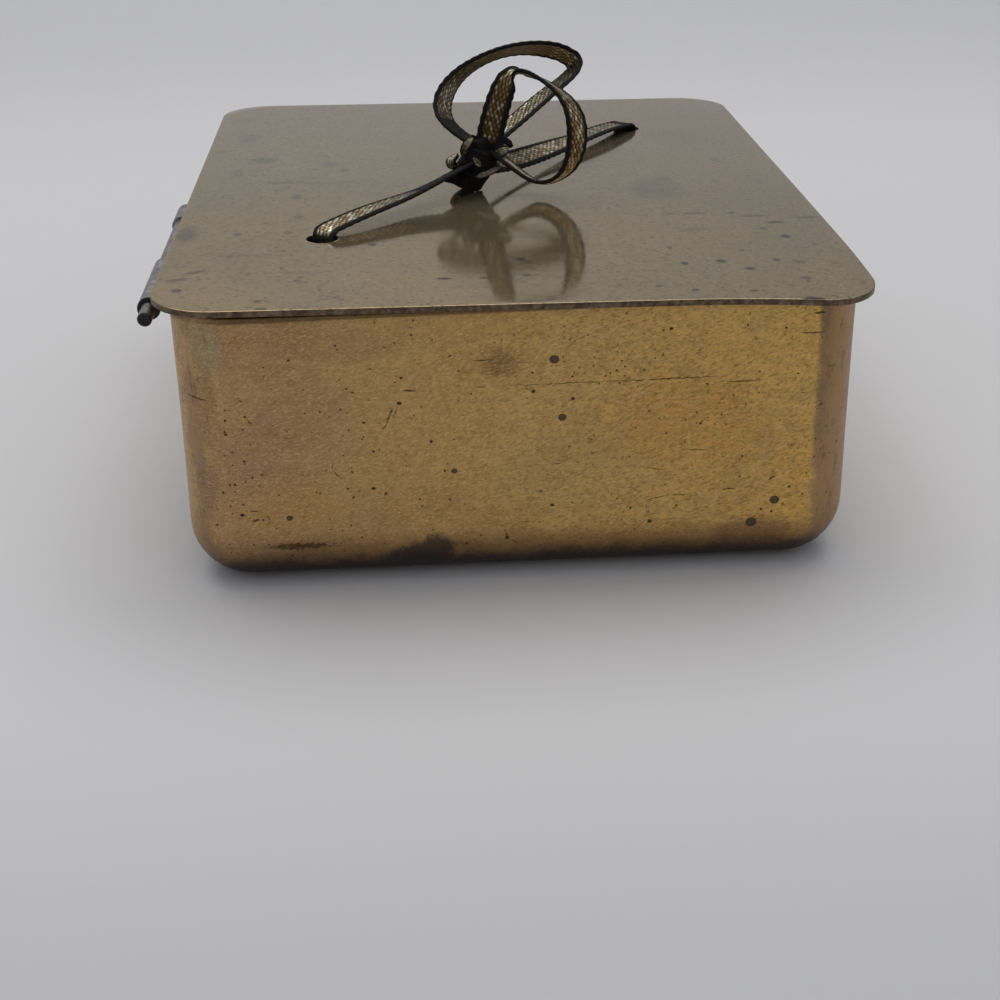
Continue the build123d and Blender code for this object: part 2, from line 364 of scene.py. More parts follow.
FRONT_SCRATCHES = [
    # one end, the other end, half width
    (-3.2, 30.4, 13.0, 30.5, 0.07), (9.0, 30.45, 29.1, 30.65, 0.11), (28.5, 29.7, 33.6, 29.8, 0.14),
    (-24.2, 30.4, -22.7, 30.2, 0.17), (-16.4, 30.2, -14.3, 30.2, 0.15), (-17.6, 28.0, -18.8, 25.2, 0.2),
    (-18.5, 25.6, -19.4, 24.3, 0.11), (-17.0, 27.9, -17.8, 26.0, 0.1), (-24.5, 32.6, -25.2, 31.7, 0.08),
    (-26.3, 20.2, -26.5, 18.7, 0.08), (-26.5, 18.7, -25.1, 17.2, 0.09), (-40.0, 21.5, -37.6, 21.7, 0.08),
    (-46.1, 29.7, -42.9, 29.4, 0.12), (-38.5, 12.8, -36.9, 13.0, 0.1), (-38.2, 11.4, -37.0, 11.6, 0.2),
    (-6.7, 34.2, -3.9, 34.2, 0.09), (-6.5, 30.4, -4.8, 30.4, 0.1), (-37.6, 26.7, -37.1, 26.0, 0.16),
    (23.1, 19.7, 26.2, 19.6, 0.1), (17.4, 12.1, 20.9, 12.9, 0.09), (20.6, 12.9, 24.1, 12.8, 0.12),
    (17.3, 17.2, 20.5, 16.8, 0.09), (28.4, 13.4, 30.7, 13.5, 0.12), (34.8, 14.3, 36.3, 15.3, 0.12),
    (1.6, 14.4, 3.2, 14.1, 0.1), (-0.5, 9.5, 1.1, 9.6, 0.08), (-2.7, 8.6, -2.1, 7.2, 0.15),
    (-2.1, 7.1, -0.5, 5.8, 0.08), (17.7, 11.5, 18.1, 10.0, 0.3), (40.0, 39.3, 41.9, 39.2, 0.2),
    (38.1, 36.5, 42.4, 36.4, 0.13), (41.7, 25.5, 42.5, 25.8, 0.15),
]
# Patches of another colour: middle, half sizes, colour and strength
FRONT_PATCHES = [
    (-42.7, 37.2, 2.9, 3.8, (0.36, 0.31, 0.19), 0.85), (-38.2, 38.0, 1.8, 1.6, (0.47, 0.24, 0.115), 0.55),
    (-45.3, 35.4, 0.7, 3.6, (0.62, 0.43, 0.28), 0.7), (-44.4, 16.4, 1.5, 4.8, (0.27, 0.155, 0.14), 0.7),
    (-43.4, 29.5, 1.8, 5.5, (0.30, 0.19, 0.10), 0.6), (6.0, 18.0, 14.0, 6.5, (0.50, 0.36, 0.15), 0.4),
    (23.0, 24.0, 12.0, 8.0, (0.62, 0.325, 0.085), 0.7), (38.4, 14.0, 3.0, 7.5, (0.72, 0.41, 0.10), 0.7),
    (33.0, 6.4, 7.0, 2.6, (0.27, 0.135, 0.075), 0.7), (-24.0, 37.0, 9.0, 2.4, (0.42, 0.235, 0.12), 0.5),
    (-32.0, 24.0, 7.0, 11.0, (0.42, 0.24, 0.13), 0.5), (-33.0, 13.0, 9.0, 5.0, (0.52, 0.30, 0.11), 0.5),
]
# Where small pits crowd: middle and half sizes
FRONT_CROWDS = [
    (-40.3, 20.0, 3.2, 9.0), (-21.5, 25.5, 4.0, 5.5), (-36.0, 12.5, 6.0, 3.5), (12.0, 34.0, 9.0, 4.0),
    (24.0, 26.0, 9.0, 5.0), (-25.5, 18.0, 2.2, 3.2), (9.0, 20.0, 3.0, 4.0),
]


GRAIN_TURN = (0, 20, 0)


def scratch_mark(x0, z0, x1, z1, width):
    """A scratch between two places, as the middle, half sizes, strength and tilt of a mark."""
    length = hypot(x1 - x0, z1 - z0)
    return (x0 + x1) / 2, (z0 + z1) / 2, length / 2, width, 0.9, -degrees(atan2(z1 - z0, x1 - x0))


class PanBrass(Finish):
    """Old unlacquered brass: mottled, rubbed sideways and pitted, redder up the corners, and painted nearly
    black along its rounded bottom as painted shade."""

    def __init__(self):
        super().__init__("pan_brass")
        self.x, self.y, self.z = self.axes()
        self.on_front = self.step(self.y, FRONT_WALL + 3.0, FRONT_WALL + 5.0, 1.0, 0.0)
        # Weight of the corners' tint and of the painted shade along the bottom: full outside, less inside
        self.outside_weight = self.step(self.value_of("inside"), 0.0, 1.0, 1.0, 0.3)
        self.mottle = self.noise(1.1, stretch=(1.7, 1.7, 1), detail=4.0, rough=0.7)
        self.drift = self.noise(3.2, stretch=(1, 1, 1.8), detail=5.0, rough=0.75)
        self.frayed = self.ragged(0.7, 0.2)
        self.stains = self.noise(9.0, shift=(3.1, 0.7, 5.2), detail=5.0, rough=0.65)
        self.flecks = self.noise(0.3, stretch=(2.2, 2.2, 1), turn=GRAIN_TURN, detail=3.0, rough=0.6)
        self.smears = self.noise(1.3, stretch=(1, 1, 2.6), shift=(2.0, 1.0, 7.0), detail=5.0, rough=0.8)
        self.paint_metal()
        self.paint_corners()
        self.paint_foot_and_rim()
        worn = self.paint_marks()
        roughness = self.plus(self.step(self.mottle, 0.3, 0.75, 0.34, 0.5), self.times(worn, 0.3))
        self.set(Base_Color=self.colour, Metallic=1.0, Roughness=roughness)
        self.bump(self.mottle, 0.045)

    def on_wall(self, x, z, half_x, half_z, tilt=0.0):
        """Distance from a place on the front wall, in shares of the half sizes."""
        return self.near((x, FRONT_WALL, z), (half_x, FRONT_DEPTH, half_z), tilt)

    def stain_front(self, distance, near, far, strength, tint):
        """Tints the front wall at strength where distance is near or less, and not at all from far on."""
        self.paint(self.times(self.step(distance, near, far, strength, 0.0), self.on_front), tint)

    def across(self, left, right):
        """One value on the box's left half and another on its right half."""
        return self.step(self.x, -10.0, 10.0, left, right)

    def paint_metal(self):
        """Browner on the hinge side and yellower on the other, clouded, patched, rubbed and grained."""
        self.colour = self.mix(self.step(self.x, -42.0, 4.0), (0.42, 0.26, 0.135), (0.615, 0.38, 0.135))
        near_front = self.step(self.y, FRONT_WALL + 4.0, 0.0, 1.0, 0.3)
        self.paint(self.times(self.step(self.x, -4.0, 44.0), near_front), (0.71, 0.43, 0.12))
        clouds = self.noise(13.0, detail=4.0)
        self.paint(self.step(clouds, 0.38, 0.66, 0.0, 0.4), (0.62, 0.42, 0.16))
        self.paint(self.step(self.stains, 0.5, 0.72, 0.0, 0.5), (0.37, 0.215, 0.08))
        for x, z, half_x, half_z, tint, strength in FRONT_PATCHES:
            edge = self.plus(self.on_wall(x, z, half_x, half_z), self.times(self.drift, 1.1))
            self.stain_front(edge, 1.1, 1.75, strength, tint)
        self.paint(self.step(self.mottle, 0.36, 0.66, 0.4, 0.0), (0.29, 0.18, 0.07))
        brown = self.plus(self.on_wall(-2.6, 33.6, 3.2, 2.6), self.times(self.mottle, 1.5))
        self.stain_front(brown, 1.0, 2.0, 0.6, (0.15, 0.09, 0.035))
        rubbing = self.noise(0.4, stretch=(26, 26, 1), detail=3.0)
        self.paint(self.step(rubbing, 0.5, 0.8, 0.0, 0.3), (0.70, 0.49, 0.22))
        flecked = self.times(self.step(self.flecks, 0.48, 0.66), self.step(self.x, -30.0, 20.0, 0.28, 0.62))
        self.paint(flecked, (0.25, 0.145, 0.045))
        grain = self.noise(0.22, stretch=(2.4, 2.4, 1), shift=(4.0, 1.0, 2.0), turn=GRAIN_TURN, detail=2.0)
        self.paint(self.step(grain, 0.46, 0.7, 0.0, 0.4), (0.78, 0.56, 0.25))

    def paint_corners(self):
        """Red-brown round the corners, greyer on their far sides, with a dark streak up the right ones."""
        # How far inside the rounded corner: 0 where it starts, 9 on its far side
        inward = self.math(
            "MINIMUM",
            self.minus(self.math("ABSOLUTE", self.x), pan_high[0] - PAN_CORNER_R),
            self.minus(self.math("ABSOLUTE", self.y), pan_high[1] - PAN_CORNER_R),
        )
        tarnish = self.noise(4.5, stretch=(1, 1, 1.6), shift=(1.0, 6.0, 2.0), detail=6.0, rough=0.75)
        corner = self.plus(inward, self.times(self.minus(tarnish, 0.5), self.across(11.0, 4.0)))
        start = self.across(3.6, 1.7)
        amount = self.step(corner, start, self.plus(start, self.across(3.4, 1.7)), 0.0, 0.8)
        self.paint(self.times(amount, self.outside_weight), (0.315, 0.19, 0.11))
        far_side = self.step(corner, 6.4, 9.2, 0.0, 0.6)
        self.paint(self.times(far_side, self.outside_weight), (0.42, 0.32, 0.29))
        streak = self.times(self.step(inward, 1.9, 2.6), self.step(inward, 2.8, 5.2, 1.0, 0.0))
        high_right = self.times(self.step(self.x, 0.0, 1.0), self.step(self.z, 14.0, 24.0))
        streak = self.times(streak, high_right)
        self.paint(self.times(streak, self.step(self.drift, 0.35, 0.65, 0.25, 0.75)), (0.17, 0.115, 0.07))
        smeared = self.times(self.step(self.smears, 0.52, 0.7, 0.0, 0.6), self.step(corner, 1.6, 4.0))
        self.paint(smeared, (0.13, 0.08, 0.05))

    def paint_foot_and_rim(self):
        """Painted shade: a brown band and then a nearly black foot along the rounded bottom, standing for
        the floor's shadow mirrored there, and a darker band just under the lid's overhang. Then the lid's
        shade in the gap that opens towards the hinge."""
        # Painted shade: the rounded bottom goes brown and then nearly black towards the floor, standing for
        # the floor's shadow mirrored in it
        low = self.plus(self.z, self.times(self.drift, 4.0))
        self.paint(self.step(low, 7.5, 11.5, 0.5, 0.0), (0.28, 0.15, 0.08))
        self.paint(self.times(self.step(low, 4.6, 8.4, 0.94, 0.0), self.outside_weight), (0.055, 0.036, 0.034))
        slope = self.on_wall(-15.0, 4.4, 5.2, 2.6, tilt=-14.0)
        peak = self.on_wall(-12.0, 5.2, 2.6, 3.0)
        blotch = self.plus(self.math("MINIMUM", slope, peak), self.times(self.smears, 1.5))
        self.stain_front(blotch, 1.4, 2.0, 0.85, (0.062, 0.052, 0.05))
        top = pan_high[2]
        # Painted shade: a band just under the lid's overhang is made a little darker and browner
        rim = self.minus(self.z, self.times(self.drift, 2.4))
        self.paint(self.step(rim, top - 2.9, top - 0.6, 0.0, 0.2), (0.26, 0.15, 0.06))
        sloping = self.minus(self.z, self.times(self.x, 0.011))
        shade = self.step(sloping, top - 0.6, top - 0.25)
        self.paint(self.times(shade, self.step(self.x, -45.0, -38.0, 0.2, 0.62)), (0.04, 0.026, 0.018))

    def paint_marks(self):
        """Scattered pits, thick in some places, short dashes, and the front wall's own marks. Returns how
        strongly each point is marked."""
        crowd = self.step(self.noise(11.0, shift=(8.3, 2.2, 1.9), detail=2.0), 0.35, 0.7, 0.0, 0.14)
        placed_crowd = self.laid(self.place, [(*shape, 1.0) for shape in FRONT_CROWDS], 0.4, 1.3)
        crowd = self.plus(crowd, self.times(self.times(placed_crowd, self.on_front), 0.42))

        def scattered(cell, shift, inner, outer, strength, rarity):
            """Pits of one size, at most one in each cell, and in more cells where they crowd."""
            distance, chance = self.cells(cell, shift=shift, place=self.frayed)
            chosen = self.step(self.plus(chance, crowd), rarity, rarity + 0.03)
            return self.times(self.step(distance, inner, outer, strength, 0.0), chosen)

        small = scattered(0.85, (0, 0, 0), 0.1, 0.24, 0.85, 0.93)
        large = scattered(2.3, (3.3, 1.2, 0.4), 0.05, 0.11, 1.0, 0.84)
        dashes = self.noise(0.26, stretch=(4.5, 4.5, 1), shift=(0.2, 5.0, 7.0), detail=3.0, rough=0.6)
        dashes = self.times(self.step(dashes, 0.64, 0.72, 0.0, 0.7), self.step(self.stains, 0.4, 0.58))

        pits = self.laid(self.frayed, [(x, z, size, 0.85 * size, 1.0) for x, z, size in FRONT_PITS])
        gaps = self.step(self.noise(0.7, stretch=(3, 3, 1), detail=2.0), 0.34, 0.48)
        scratches = self.laid(self.frayed, [scratch_mark(*scratch) for scratch in FRONT_SCRATCHES])
        specks = self.plus(self.on_wall(-31.5, 7.1, 5.6, 0.75), self.times(self.flecks, 2.4))
        placed = self.highest([pits, self.times(scratches, gaps), self.step(specks, 1.7, 2.1, 0.85, 0.0)])
        dark = self.highest([small, large, dashes, self.times(placed, self.on_front)])
        self.paint(self.times(dark, 0.86), (0.05, 0.032, 0.018))

        discs = [(x, z, size, 0.9 * size, 1.0) for x, z, size in FRONT_SPOTS]
        spots = self.times(self.laid(self.place, discs, 0.75, 1.05), self.on_front)
        self.paint(self.times(spots, 0.9), (0.105, 0.082, 0.066))
        rings = self.minus(spots, self.math("POWER", spots, 6.0))
        self.paint(self.math("MULTIPLY", rings, 1.6, clamp=True), (0.04, 0.028, 0.02))
        return self.math("MAXIMUM", dark, spots)


# Soft stains on the lid: millimetres along X and Y, half sizes along X and Y, strength and any tilt
LID_STAINS = [
    (-39.5, 18.3, 2.6, 3.2, 1.0), (-43.4, 9.7, 1.4, 2.8, 0.9), (-47.6, 25.1, 1.1, 2.0, 0.6),
    (-43.4, 36.0, 2.2, 4.6, 0.5), (-27.8, 14.2, 1.5, 2.2, 0.7), (-25.1, 9.8, 1.0, 2.0, 0.7),
    (-35.2, 2.3, 3.4, 1.5, 0.6), (-27.1, 1.5, 6.5, 1.4, 0.5), (-32.5, -7.3, 1.2, 2.2, 0.8),
    (-48.1, -28.2, 2.1, 5.2, 1.0), (40.1, 11.0, 0.9, 2.6, 0.7), (37.5, -3.3, 0.8, 1.6, 0.8),
    (29.1, -0.8, 1.7, 2.3, 0.8), (26.5, -7.6, 5.2, 8.2, 0.6), (44.5, -3.5, 1.0, 1.8, 0.5),
    (18.7, -6.9, 0.9, 1.3, 0.5), (36.0, 29.8, 6.0, 7.0, 0.3), (28.9, -31.7, 3.2, 1.2, 0.6),
    (-38.0, -39.7, 7.0, 0.9, 0.4), (-30.0, -48.5, 5.0, 0.8, 0.4), (8.0, -26.8, 6.0, 1.0, 0.4),
]
# Small pits and short scratches on the lid, in the same way
LID_PITS = [
    (-31.6, -19.6, 0.7, 1.1, 0.5), (-20.0, -35.8, 0.6, 0.6, 1.0), (-32.8, -28.2, 0.7, 0.9, 0.5),
    (-40.4, -28.5, 0.7, 0.8, 0.5), (-47.0, -50.6, 1.7, 0.5, 0.6, -20.0),
    (-44.9, -47.2, 1.6, 0.5, 0.6, -35.0), (-46.5, -55.4, 0.7, 0.7, 0.8), (-9.8, -53.1, 0.9, 0.5, 1.0),
    (-4.3, -53.3, 0.6, 0.5, 0.8), (1.4, -44.9, 0.7, 0.7, 0.8), (1.8, -52.6, 0.6, 0.5, 0.7),
    (-35.2, -61.1, 0.5, 0.5, 0.8), (-34.5, -64.2, 0.8, 0.4, 0.8), (-24.7, -60.1, 0.5, 0.5, 0.6),
    (-30.3, -52.4, 0.5, 0.5, 0.6), (42.1, -28.8, 1.3, 0.6, 0.8), (39.4, -32.0, 0.5, 0.7, 0.7),
    (41.9, -36.5, 0.7, 0.8, 1.0), (26.3, -22.9, 1.2, 0.5, 0.5), (30.1, -22.8, 1.7, 0.5, 0.6),
    (36.3, -23.0, 0.8, 0.5, 0.6), (39.3, -25.0, 2.2, 0.5, 0.6), (47.3, -26.5, 2.0, 0.5, 0.6),
    (24.6, -48.8, 0.5, 0.7, 1.0), (30.0, -48.1, 0.6, 0.7, 1.0), (33.4, -51.9, 0.6, 0.6, 1.0),
    (38.0, -48.1, 0.5, 0.7, 0.8), (41.1, -49.4, 0.7, 0.6, 0.6), (23.6, -40.9, 0.4, 0.6, 0.7),
    (34.0, -43.0, 0.4, 0.6, 0.6), (45.2, -40.9, 0.4, 0.6, 0.6), (40.3, -56.5, 0.8, 0.5, 0.7),
    (19.4, -58.9, 0.5, 0.5, 0.7), (24.1, -60.9, 0.5, 0.5, 0.8), (32.0, -61.7, 0.6, 0.4, 0.8),
    (39.5, -65.0, 1.4, 1.0, 1.0),
]


def lid_finish():
    """Flat sheet of dulled grey-brown brass, polished enough to mirror the bow, stained and finely spotted.
    Its cut edge is nearly black."""
    lid = Finish("lid_brass")
    x, y, _ = lid.axes()
    edge = lid.value_of("edge")
    clouds = lid.noise(24.0, detail=4.0)
    haze = lid.noise(4.0, stretch=(1.6, 1, 1), detail=5.0, rough=0.7)
    fine = lid.noise(0.5, stretch=(1.8, 1, 1), detail=3.0)
    lid.colour = lid.mix(lid.step(y, -60.0, 20.0), (0.485, 0.355, 0.18), (0.375, 0.298, 0.182))
    lid.paint(lid.step(x, -20.0, 45.0, 0.0, 0.5), (0.31, 0.235, 0.15))
    lid.paint(lid.step(y, 5.0, 65.0, 0.0, 0.45), (0.26, 0.205, 0.135))
    lid.paint(lid.step(clouds, 0.35, 0.68, 0.0, 0.45), (0.32, 0.265, 0.18))
    lid.paint(lid.step(haze, 0.5, 0.75, 0.0, 0.28), (0.25, 0.208, 0.15))
    lid.paint(lid.step(fine, 0.45, 0.75, 0.0, 0.18), (0.55, 0.46, 0.35))
    specks = lid.noise(0.42, stretch=(1.6, 1.5, 1), shift=(0.0, 3.0, 1.0), detail=2.0, rough=0.5)
    lid.paint(lid.step(specks, 0.56, 0.68, 0.0, 0.34), (0.60, 0.50, 0.36))
    lid.paint(lid.step(specks, 0.33, 0.42, 0.6, 0.0), (0.13, 0.098, 0.07))

    def seen_from_above(size, amount):
        """The lid's ragged place, turned so that marks laid on it in X and Z lie in X and Y."""
        return lid.scaled(lid.ragged(size, amount), (1, 1, 1), turn=(90, 0, 0))

    stains = lid.laid(seen_from_above(2.4, 1.0), LID_STAINS, 0.4, 1.15)
    lid.paint(lid.times(stains, lid.step(haze, 0.3, 0.6, 0.42, 0.66)), (0.12, 0.11, 0.10))
    frayed = lid.ragged(1.0, 0.5)
    distance, chance = lid.cells(2.1, stretch=(1.4, 1.9, 1), shift=(5.1, 2.2, 0.0), place=frayed)
    spots = lid.times(lid.step(distance, 0.05, 0.2, 0.6, 0.0), lid.step(chance, 0.76, 0.84))
    dark = lid.math("MAXIMUM", spots, lid.laid(seen_from_above(0.5, 0.2), LID_PITS, 0.7, 1.5))
    lid.paint(lid.times(dark, 0.9), (0.065, 0.05, 0.038))
    worn = lid.step(lid.noise(1.2, detail=5.0, rough=0.7), 0.38, 0.66)
    lid.paint(lid.step(edge, 0.3, 0.7), lid.mix(worn, (0.08, 0.052, 0.032), (0.2, 0.143, 0.09)))
    roughness = lid.plus(lid.step(haze, 0.35, 0.8, 0.085, 0.15), lid.times(edge, 0.28))
    lid.set(Base_Color=lid.colour, Metallic=0.8, Roughness=roughness)
    lid.bump(fine, 0.003)
    return lid.material


def steel_finish():
    """Grey steel with grime, nearly black on the front ends of the knuckle and the pin."""
    steel = Finish("hinge_steel")
    y = steel.axes()[1]
    grime = steel.noise(1.6, detail=5.0, rough=0.7)
    streaks = steel.noise(0.5, stretch=(1, 8, 1), detail=3.0)
    steel.colour = steel.mix(steel.step(grime, 0.35, 0.7), (0.16, 0.15, 0.145), (0.34, 0.325, 0.32))
    steel.paint(steel.step(streaks, 0.5, 0.8, 0.0, 0.4), (0.38, 0.37, 0.36))
    pin_end, knuckle_end = (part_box(node)[0][1] / MM for node in ("hinge_pin", "front_knuckle"))
    ends = steel.highest([
        steel.step(y, pin_end + 0.1, pin_end + 0.35, 1.0, 0.0),
        steel.step(steel.math("ABSOLUTE", steel.minus(y, knuckle_end)), 0.1, 0.5, 1.0, 0.0),
    ])
    steel.paint(steel.times(ends, 0.92), (0.012, 0.012, 0.012))
    steel.set(Base_Color=steel.colour, Metallic=0.85, Roughness=steel.step(grime, 0.3, 0.7, 0.3, 0.55))
    steel.bump(grime, 0.04)
    return steel.material


def braid_finish():
    """Black thread at the edges and gold and silver yarn in the middle, told apart by values on the
    mesh."""
    braid = Finish("ribbon_braid")
    yarn, tone, crown = (braid.value_of(key) for key in ("yarn", "tone", "crown"))
    fuzz = braid.noise(0.12, detail=3.0)
    gold = braid.mix(tone, (0.56, 0.36, 0.12), (0.80, 0.76, 0.60))
    # Darker towards black where the crown value is low: in the gaps between yarns, and as painted shade
    # where the ribbon's painted light is low
    gold = braid.mix(braid.step(crown, 0.1, 0.8, 0.93, 0.0), gold, (0.02, 0.014, 0.007))
    black = braid.mix(fuzz, (0.002, 0.002, 0.002), (0.014, 0.013, 0.013))
    braid.set(
        Base_Color=braid.mix(yarn, black, gold),
        Metallic=yarn,
        Roughness=braid.step(yarn, 0.0, 1.0, 0.8, 0.3),
        Specular_IOR_Level=0.16,
    )
    braid.bump(fuzz, 0.05)
    return braid.material


def stage_finish():
    """Pale matt sheet, painted slightly darker in front of the box and on the wall behind it: painted shade
    for the light falling off there.
    """
    sheet = Finish("pale_sheet")
    y = sheet.axes()[1]
    sheet.colour = sheet.mix(sheet.noise(180.0, detail=1.0), (0.545, 0.538, 0.537), (0.565, 0.558, 0.56))
    # Painted shade: darker towards the camera, and darker up the wall behind
    sheet.paint(sheet.step(y, -170.0, -75.0, 1.0, 0.0), (0.45, 0.448, 0.45))
    sheet.paint(sheet.step(y, 150.0, 420.0, 0.0, 1.0), (0.49, 0.488, 0.49))
    sheet.set(Base_Color=sheet.colour, Roughness=0.7)
    return sheet.material


# Pieces


def pan_section():
    """Half section of the pan as (inset from the outer wall, height): under the base, up the wall, over the
    rim and down inside. Rounds are arcs."""
    top = pan_high[2]
    inner_base = PAN_BASE_R - SHEET
    return np.concatenate([
        arc((PAN_BASE_R, PAN_BASE_R), PAN_BASE_R, 270, 180, 14),
        np.stack([np.zeros(16), np.linspace(PAN_BASE_R, top - RIM_ROUND, 17)[1:]], axis=-1),
        arc((RIM_ROUND, top - RIM_ROUND), RIM_ROUND, 180, 90, 5)[1:],
        arc((SHEET - RIM_ROUND, top - RIM_ROUND), RIM_ROUND, 90, 0, 5),
        np.stack([np.full(14, SHEET), np.linspace(top - RIM_ROUND, PAN_BASE_R, 15)[1:]], axis=-1),
        arc((PAN_BASE_R, PAN_BASE_R), inner_base, 180, 270, 12)[1:],
    ])


def make_pan(material):
    """The section carried round a rounded rectangle. The two flat ends of the section then shrink to the
    middle of the base in even shares, which closes it."""
    half_x, half_y = pan_high[0], pan_high[1]
    centres, directions = rounded_outline(half_x, half_y, PAN_CORNER_R)
    section = pan_section()
    flat = centres[None] + directions[None] * (PAN_CORNER_R - section[:, 0])[:, None, None]
    height = np.broadcast_to(section[:, 1][:, None, None], (*flat.shape[:2], 1))
    shell = np.concatenate([flat, height], axis=-1)
    inward = np.linspace(1, 0, 14)[1:, None, None] * (1, 1, 0)
    under = shell[:1] * inward[::-1]
    base = shell[-1:] * inward + (0, 0, SHEET)
    shell = np.concatenate([under, shell, base])
    dents = swell(shell, 3, DENT_REACH, DENT_DEPTH) * np.clip(shell[..., 2] / STIFF_FOOT, 0, 1) ** 2
    outward = np.concatenate([directions, np.zeros((len(directions), 1))], axis=-1)
    shell = shell - np.abs(dents)[..., None] * outward
    rim_row = len(under) + np.argmax(section[:, 1])
    inside = np.repeat(np.arange(len(shell)) > rim_row + 3, shell.shape[1])
    return make_piece("pan", [grid_part(shell, flip=True)], material, {"inside": inside}, merge=0.002)


def edge_section(low, high):
    """Rounded sheet edge from its top face to its underside, as (inset, height)."""
    top = arc((LID_EDGE_R, high - LID_EDGE_R), LID_EDGE_R, 90, 180, 5)
    return np.concatenate([top, arc((LID_EDGE_R, low + LID_EDGE_R), LID_EDGE_R, 180, 270, 5)])


def make_lid(material):
    """Two faces, each parted in two patches that spread from a hole's rim out to its half of the outline,
    then the outline's edge and the holes' edges."""
    centres, directions = rounded_outline(*LID_HALF, LID_CORNER_R)
    outline = centres + directions * (LID_CORNER_R - LID_EDGE_R)
    section = edge_section(LID_UNDER, LID_TOP)

    def at_height(flat, height):
        """Flat places raised to a height plus the sheet's slow waves, less the bend of the right front
        corner, which grows as the square of the way past LID_BENT_FROM."""
        level = np.concatenate([flat, np.zeros((*flat.shape[:-1], 1))], axis=-1)
        wave = swell(level, 8, LID_WAVE_REACH, LID_WAVE) - LID_WAVE / 2
        reach = (flat[..., 0] - flat[..., 1] - LID_BENT_FROM) / LID_BENT_REACH
        bent = LID_BENT_DROP * np.clip(reach, 0, 1) ** 2
        return np.concatenate([flat, (height + wave - bent)[..., None]], axis=-1)

    border = centres[None] + directions[None] * (LID_CORNER_R - section[:, 0])[:, None, None]
    parts = [grid_part(at_height(border, section[:, 1][:, None]), flip=True)]
    fade = [0.0, 0.1, 0.7]
    cut = np.array([*fade, *np.ones(len(section) - 2 * len(fade)), *reversed(fade)])
    edges = [np.repeat(cut, len(outline))]

    # The parting line runs between the holes from one side of the outline to the other
    side = (outline - np.mean([LEFT_HOLE, RIGHT_HOLE], axis=0)) @ np.subtract(RIGHT_HOLE, LEFT_HOLE) > 0
    first = np.flatnonzero(side & ~np.roll(side, 1))[0]
    order = np.roll(np.arange(len(outline)), -first)
    loop, far = outline[order], side[order]
    count = far.sum()
    line = np.linspace(0, 1, 60)[1:-1, None]
    chord = loop[0] + line * (loop[count] - loop[0])
    halves = (
        (RIGHT_HOLE, np.concatenate([loop[: count + 1], chord[::-1]])),
        (LEFT_HOLE, np.concatenate([loop[count:], loop[:1], chord])),
    )
    for hole, edge in halves:
        rays = unit(edge - hole)
        share = np.linspace(0, 1, 40)[:, None, None] ** 1.3
        inner = hole + rays * (HOLE_R + LID_EDGE_R)
        face = inner + share * (edge - inner)
        edges += [np.zeros(face[..., 0].size)] * 2 + [np.repeat(cut, len(rays))]
        rim = hole + rays[None] * (HOLE_R + section[:, 0])[:, None, None]
        parts += [
            grid_part(at_height(face, np.full(face.shape[:2], LID_TOP))),
            grid_part(at_height(face, np.full(face.shape[:2], LID_UNDER)), flip=True),
            grid_part(at_height(rim, section[:, 1][:, None])),
        ]
    return make_piece("lid", parts, material, {"edge": np.concatenate(edges)}, merge=0.004, on_lid=True)


# Ribbon


def smooth_line(points):
    """Points along the NURBS curve that has these control points, in the same units."""
    curve = bpy.data.curves.new("route", "CURVE")
    curve.dimensions = "3D"
    curve.resolution_u = 48
    spline = curve.splines.new("NURBS")
    spline.points.add(len(points) - 1)
    spline.points.foreach_set("co", np.column_stack([points, np.ones(len(points))]).ravel())
    spline.order_u = 3
    spline.use_endpoint_u = True
    holder = bpy.data.objects.new("route", curve)
    mesh = bpy.data.meshes.new_from_object(holder)
    line = np.empty(len(mesh.vertices) * 3, np.float32)
    mesh.vertices.foreach_get("co", line)
    bpy.data.objects.remove(holder)
    bpy.data.meshes.remove(mesh)
    bpy.data.curves.remove(curve)
    return line.reshape(-1, 3).astype(float)


def evenly(line, step, *others):
    """A line's points spaced evenly, with other values along it taken at the same places, and the distance
    run."""
    run = np.concatenate([[0], np.cumsum(np.linalg.norm(np.diff(line, axis=0), axis=1))])
    at = np.linspace(0, run[-1], int(run[-1] / step) + 2)

    def picked(values):
        return np.stack([np.interp(at, run, column) for column in values.T], axis=-1)

    return (*map(picked, (line, *others)), at)


def braid_pattern(u, v, seed, share=BRAID_SHARE):
    """Relief in millimetres and yarn values at u millimetres along and v across, -1 to 1, as whole arrays.
    Yarn shows on the middle share of the width.

    Yarns cross slantwise: a = u/length + v/spread and b = u/length - v/spread number the diamonds between
    them. Where a's and b's whole parts add up to an even number one yarn is on top, and elsewhere the
    other. The yarn on top is a half sine across, and swells from its dip to its crown along. The edges are
    cords of slanting turns, |sin| of u and v."""
    a, b = u / LINK_LENGTH + v / LINK_SPREAD, u / LINK_LENGTH - v / LINK_SPREAD
    whole_a, whole_b = np.floor(a), np.floor(b)
    over = (whole_a + whole_b) % 2 == 0
    along = np.where(over, b - whole_b, a - whole_a)
    across = np.where(over, a - whole_a, b - whole_b) - 0.5
    crown = np.sin(np.pi * along) ** 0.6 * np.cos(np.pi * across)
    inside = np.clip((share - np.abs(v)) / 0.06, 0, 1)
    lucky = np.modf(np.abs(np.sin(whole_a * SCATTER[0] + whole_b * SCATTER[1] + seed) * SCATTER[2]))[0]
    turns = np.abs(np.sin(np.pi * (u / EDGE_CORD_TURN + np.abs(v) * 1.3)))
    cord = np.sqrt(np.clip(1 - ((np.abs(v) - EDGE_CORD_MIDDLE) / EDGE_CORD_HALF) ** 2, 0, 1))
    middle = (BRAID_DIP + BRAID_SWELL * crown) * inside
    thickness = np.maximum(middle, (EDGE_CORD + 0.05 * turns) * cord)
    return thickness, {"yarn": inside, "tone": lucky ** 2, "crown": crown * (0.55 + 0.6 * lucky)}


